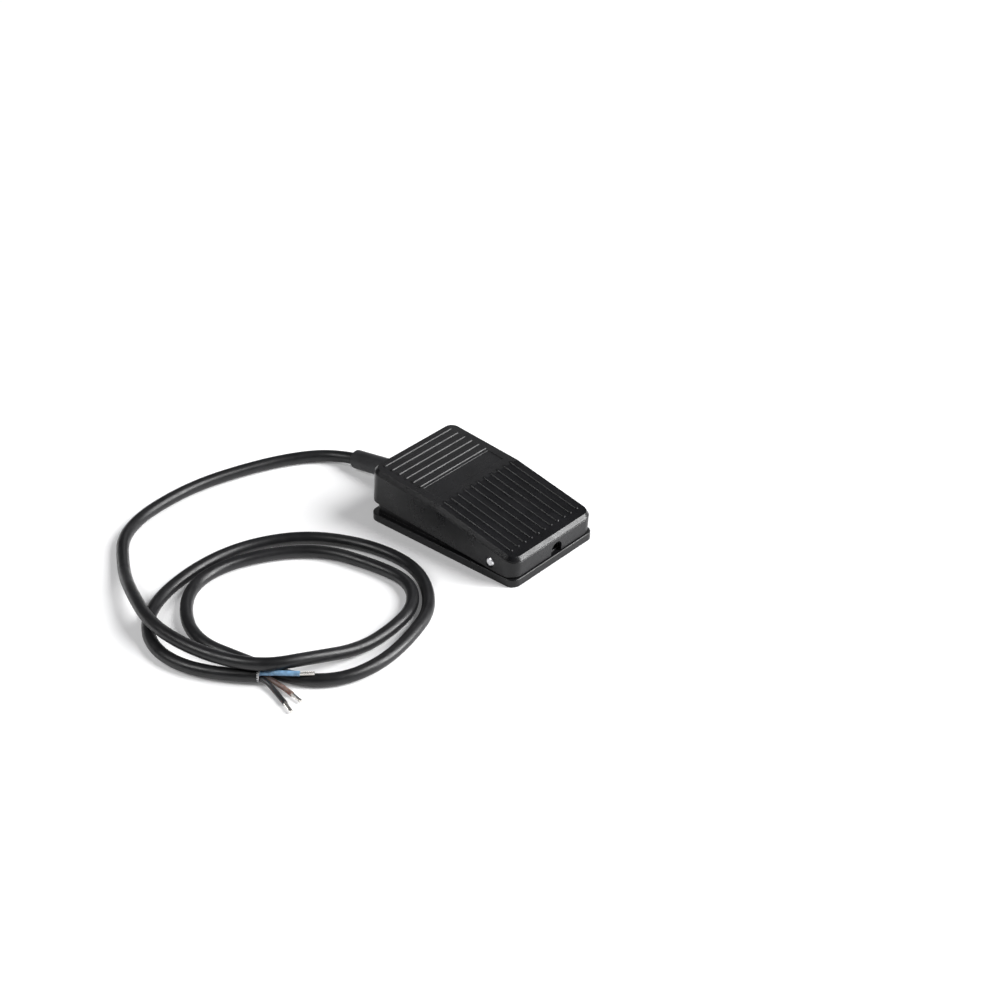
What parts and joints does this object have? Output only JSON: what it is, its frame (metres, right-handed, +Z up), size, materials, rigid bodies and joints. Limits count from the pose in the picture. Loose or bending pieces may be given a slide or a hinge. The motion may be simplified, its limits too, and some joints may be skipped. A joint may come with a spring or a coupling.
{
  "type": "foot switch",
  "caption": "Small plastic foot switch: a ribbed tilting pedal over a flat base, with a strain-relief boot and a flexible lead with bare cores.",
  "frame": {"origin": "middle of the base, on the surface it stands on", "axes": "+Z up, +Y towards the cord end, -Y towards the pivot end, X across the pedal"},
  "size_m": [0.2204, 0.1927, 0.0322],
  "materials": {
    "tray_plastic": "fine spark texture, satin",
    "pedal_plastic": "fine spark texture, satin",
    "pin_steel": "ground, bright",
    "spring_steel": "drawn wire, zinc plated",
    "clamp_plastic": "moulded",
    "zinc_screw": "zinc plated",
    "switch_plastic": "moulded thermoset",
    "switch_lid_plastic": "moulded thermoset",
    "plunger_plastic": "moulded",
    "lever_steel": "stainless strip",
    "terminal_brass": "tinned brass",
    "boot_rubber": "moulded, matt",
    "cord_jacket": "extruded soft sheath, satin",
    "foot_rubber": "matt",
    "insulation_blue": "extruded, satin",
    "insulation_black": "extruded, satin",
    "insulation_brown": "extruded, satin",
    "tinned_copper": "tinned, twisted",
    "solder": "solder, dull"
  },
  "bodies": {
    "base": {"base": "tray_plastic", "hinge_pin_left": "pin_steel", "hinge_pin_right": "pin_steel", "return_spring": "spring_steel", "cord_clamp": "clamp_plastic", "clamp_screws": "zinc_screw", "switch_case": "switch_plastic", "switch_cover": "switch_lid_plastic", "lever_axle": "lever_steel", "switch_screws": "zinc_screw", "terminal_common": "terminal_brass", "terminal_normally_closed": "terminal_brass", "terminal_normally_open": "terminal_brass", "strain_relief": "boot_rubber", "cord": "cord_jacket", "foot_front_left": "foot_rubber", "foot_front_right": "foot_rubber", "foot_rear_left": "foot_rubber", "foot_rear_right": "foot_rubber", "free_core_blue": "insulation_blue", "inner_core_blue": "insulation_blue", "free_strands_blue": "tinned_copper", "solder_joint_blue": "solder", "free_core_black": "insulation_black", "inner_core_black": "insulation_black", "free_strands_black": "tinned_copper", "solder_joint_black": "solder", "free_core_brown": "insulation_brown", "inner_core_brown": "insulation_brown", "free_strands_brown": "tinned_copper", "solder_joint_brown": "solder"},
    "pedal": {"pedal": "pedal_plastic"},
    "lever": {"switch_lever": "lever_steel"},
    "plunger": {"switch_plunger": "plunger_plastic"}
  },
  "joints": [
    {"name": "pedal_hinge", "type": "hinge", "parent": "base", "child": "pedal", "pos_m": [0, -0.03365, 0.00935], "axis": [1, 0, 0], "range_deg": [-4.5, 0], "stiffness_Nm_per_rad": 6, "springref_deg": 2.86, "deforming": ["return_spring"]},
    {"name": "lever_hinge", "type": "hinge", "parent": "base", "child": "lever", "pos_m": [-0.013, 0.0194, 0.0207], "axis": [1, 0, 0], "range_deg": [0, 10.01]},
    {"name": "plunger_slide", "type": "slide", "parent": "base", "child": "plunger", "axis": [0, 0, 1], "range_m": [-0.00107, 0]}
  ],
  "couplings": [
    {"joint": "lever_hinge", "follows": "pedal_hinge", "ratio": -2.158},
    {"joint": "plunger_slide", "follows": "pedal_hinge", "m_per_rad": 0.01295}
  ]
}
